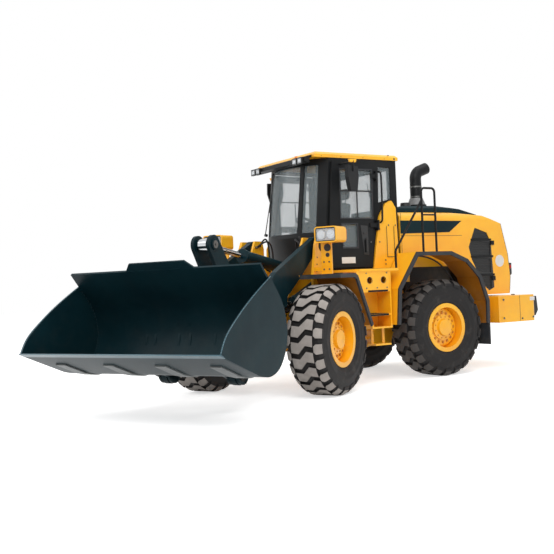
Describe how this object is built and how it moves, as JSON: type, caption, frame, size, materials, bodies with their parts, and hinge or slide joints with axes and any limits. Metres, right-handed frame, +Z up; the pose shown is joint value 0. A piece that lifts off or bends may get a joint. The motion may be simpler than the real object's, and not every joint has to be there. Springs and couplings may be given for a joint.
{
  "type": "wheel loader",
  "caption": "Articulated wheel loader with a hollow glazed cab, rear hood, Z-bar boom linkage, bucket and lugged tyres, standing turned left at its steering hinge.",
  "frame": {"origin": "on the ground, in the middle of the whole machine's length and width as it stands turned", "axes": "+X ahead along the rear machine, +Y to its left, +Z up"},
  "size_m": [8.4124, 4.6596, 3.4093],
  "materials": {
    "machine_yellow": "gloss paint",
    "frame_dark": "satin paint",
    "machine_black": "satin paint",
    "worn_steel": "worn bare steel",
    "rod_chrome": "polished",
    "pane": "clear tinted",
    "black_plastic": "matte",
    "edge_rubber": "matte",
    "seat_cloth": "woven",
    "tyre": "matte",
    "rim_yellow": "gloss paint"
  },
  "bodies": {
    "rear": {"rear_frame": "machine_yellow", "rear_axle": "machine_black", "engine_block": "machine_black", "gearbox": "machine_black", "counterweight": "machine_yellow", "rear_bumper": "machine_black", "rear_fenders": "machine_yellow", "rear_fender_edges": "edge_rubber", "cab_side_panels": "machine_yellow", "side_ladders": "machine_yellow", "handrails": "machine_black", "fuel_tank": "frame_dark", "cab_frame": "machine_black", "cab_glass": "pane", "cab_floor": "machine_black", "roof": "machine_yellow", "seat": "seat_cloth", "console": "machine_black"},
    "front": {"front_frame": "machine_yellow", "front_axle": "machine_black", "front_fenders": "machine_yellow", "front_fender_edges": "edge_rubber", "headlamps": "machine_yellow"},
    "boom": {"boom": "frame_dark"},
    "bell_crank": {"bell_crank": "frame_dark"},
    "bucket_link": {"bucket_link": "frame_dark"},
    "bucket": {"bucket": "frame_dark", "cutting_edge": "worn_steel"},
    "tilt_barrel": {"tilt_barrel": "frame_dark"},
    "tilt_rod": {"tilt_rod": "rod_chrome"},
    "lift_barrels": {"lift_barrels": "frame_dark"},
    "lift_rods": {"lift_rods": "rod_chrome"},
    "steer_barrel_left": {"steer_barrel_left": "frame_dark"},
    "steer_barrel_right": {"steer_barrel_right": "frame_dark"},
    "steer_rod_left": {"steer_rod_left": "rod_chrome"},
    "steer_rod_right": {"steer_rod_right": "rod_chrome"},
    "centre_shaft": {"centre_shaft": "machine_black"},
    "door_left": {"door_left": "machine_black", "door_glass_left": "pane"},
    "door_right": {"door_right": "machine_black", "door_glass_right": "pane"},
    "hood": {"hood_shell": "machine_yellow", "hood_trim": "frame_dark", "side_grilles": "black_plastic", "exhaust": "machine_black", "tail_lamps": "black_plastic"},
    "rear_grille": {"rear_grille": "machine_black"},
    "wheel_front_left": {"tyre_front_left": "tyre", "rim_front_left": "rim_yellow"},
    "wheel_front_right": {"tyre_front_right": "tyre", "rim_front_right": "rim_yellow"},
    "wheel_rear_left": {"tyre_rear_left": "tyre", "rim_rear_left": "rim_yellow"},
    "wheel_rear_right": {"tyre_rear_right": "tyre", "rim_rear_right": "rim_yellow"}
  },
  "joints": [
    {"name": "steer", "type": "hinge", "parent": "rear", "child": "front", "pos_m": [-0.56622, -1.0618, 0.8], "axis": [0, 0, 1], "range_deg": [-67.5, 12.5]},
    {"name": "boom_lift", "type": "hinge", "parent": "front", "child": "boom", "pos_m": [0.29418, -0.61391, 2], "axis": [0.4617, -0.887, 0], "range_deg": [-6, 80]},
    {"name": "bucket_tilt", "type": "hinge", "parent": "boom", "child": "bucket", "pos_m": [2.11256, 0.33268, 0.42], "axis": [-0.4617, 0.887, 0], "range_deg": [-22, 90]},
    {"name": "bell_crank_turn", "type": "hinge", "parent": "boom", "child": "bell_crank", "pos_m": [1.58035, 0.05563, 1.33], "axis": [0.4617, -0.887, 0], "range_deg": [-13.43, 51.85]},
    {"name": "bucket_link_turn", "type": "hinge", "parent": "bell_crank", "child": "bucket_link", "pos_m": [1.41803, -0.02887, 0.696], "axis": [0.4617, -0.887, 0], "range_deg": [-70.44, 17.97]},
    {"name": "tilt_barrel_turn", "type": "hinge", "parent": "front", "child": "tilt_barrel", "pos_m": [0.14339, -0.6924, 1.69], "axis": [0.4617, -0.887, 0], "range_deg": [-6.16, 69.86]},
    {"name": "tilt_rod_slide", "type": "slide", "parent": "tilt_barrel", "child": "tilt_rod", "axis": [0.8764, 0.4562, 0.1542], "range_m": [-0.6006, 0.1506]},
    {"name": "lift_barrels_turn", "type": "hinge", "parent": "front", "child": "lift_barrels", "pos_m": [0.16113, -0.68317, 1.51], "axis": [0.4617, -0.887, 0], "range_deg": [-6.04, 68.26]},
    {"name": "lift_rods_slide", "type": "slide", "parent": "lift_barrels", "child": "lift_rods", "axis": [0.8384, 0.4364, -0.3265], "range_m": [-0.049, 0.5911]},
    {"name": "steer_barrel_left_turn", "type": "hinge", "parent": "rear", "child": "steer_barrel_left", "pos_m": [-1.18622, -0.7618, 0.8], "axis": [0, 0, 1], "range_deg": [-27.09, 5.83]},
    {"name": "steer_rod_left_slide", "type": "slide", "parent": "steer_barrel_left", "child": "steer_rod_left", "axis": [0.9841, 0.1775, 0], "range_m": [-0.069, 0.3505]},
    {"name": "steer_barrel_right_turn", "type": "hinge", "parent": "rear", "child": "steer_barrel_right", "pos_m": [-1.18622, -1.3618, 0.8], "axis": [0, 0, 1], "range_deg": [-27.89, 5.98]},
    {"name": "steer_rod_right_slide", "type": "slide", "parent": "steer_barrel_right", "child": "steer_rod_right", "axis": [0.9813, 0.1927, 0], "range_m": [-0.3555, 0.0699]},
    {"name": "centre_shaft_turn", "type": "hinge", "parent": "rear", "child": "centre_shaft", "pos_m": [-0.91622, -1.0618, 0.73], "axis": [0, 0, 1], "range_deg": [-34.75, 7.25]},
    {"name": "door_left_hinge", "type": "hinge", "parent": "rear", "child": "door_left", "pos_m": [-1.15822, -0.2098, 2.4], "axis": [0, 0, 1], "range_deg": [0, 85]},
    {"name": "door_right_hinge", "type": "hinge", "parent": "rear", "child": "door_right", "pos_m": [-1.15822, -1.9138, 2.4], "axis": [0, 0, -1], "range_deg": [0, 85]},
    {"name": "hood_hinge", "type": "hinge", "parent": "rear", "child": "hood", "pos_m": [-1.71622, -1.0618, 2.44], "axis": [0, 1, 0], "range_deg": [0, 40]},
    {"name": "rear_grille_hinge", "type": "hinge", "parent": "hood", "child": "rear_grille", "pos_m": [-4.04622, -1.5878, 1.8], "axis": [0, 0, 1], "range_deg": [0, 90]},
    {"name": "wheel_front_left_spin", "type": "hinge", "parent": "front", "child": "wheel_front_left", "pos_m": [0.34638, 0.5181, 0.73], "axis": [-0.4617, 0.887, 0], "continuous": true},
    {"name": "wheel_rear_left_spin", "type": "hinge", "parent": "rear", "child": "wheel_rear_left", "pos_m": [-2.10522, -0.0818, 0.73], "axis": [0, 1, 0], "continuous": true},
    {"name": "wheel_front_right_spin", "type": "hinge", "parent": "front", "child": "wheel_front_right", "pos_m": [1.25141, -1.22044, 0.73], "axis": [-0.4617, 0.887, 0], "continuous": true},
    {"name": "wheel_rear_right_spin", "type": "hinge", "parent": "rear", "child": "wheel_rear_right", "pos_m": [-2.10522, -2.0418, 0.73], "axis": [0, 1, 0], "continuous": true}
  ],
  "couplings": [
    {"joint": "bell_crank_turn", "follows": "bucket_tilt", "ratio": 0.56504},
    {"joint": "bucket_link_turn", "follows": "bucket_tilt", "ratio": -0.77158},
    {"joint": "tilt_barrel_turn", "follows": "boom_lift", "ratio": 0.86073},
    {"joint": "tilt_rod_slide", "follows": "bucket_tilt", "m_per_rad": -0.37917},
    {"joint": "lift_barrels_turn", "follows": "boom_lift", "ratio": 0.84075},
    {"joint": "lift_rods_slide", "follows": "boom_lift", "m_per_rad": 0.41975},
    {"joint": "steer_barrel_left_turn", "follows": "steer", "ratio": 0.38648},
    {"joint": "steer_rod_left_slide", "follows": "steer", "m_per_rad": -0.29329},
    {"joint": "steer_barrel_right_turn", "follows": "steer", "ratio": 0.3984},
    {"joint": "steer_rod_right_slide", "follows": "steer", "m_per_rad": 0.29752},
    {"joint": "centre_shaft_turn", "follows": "steer", "ratio": 0.5}
  ]
}
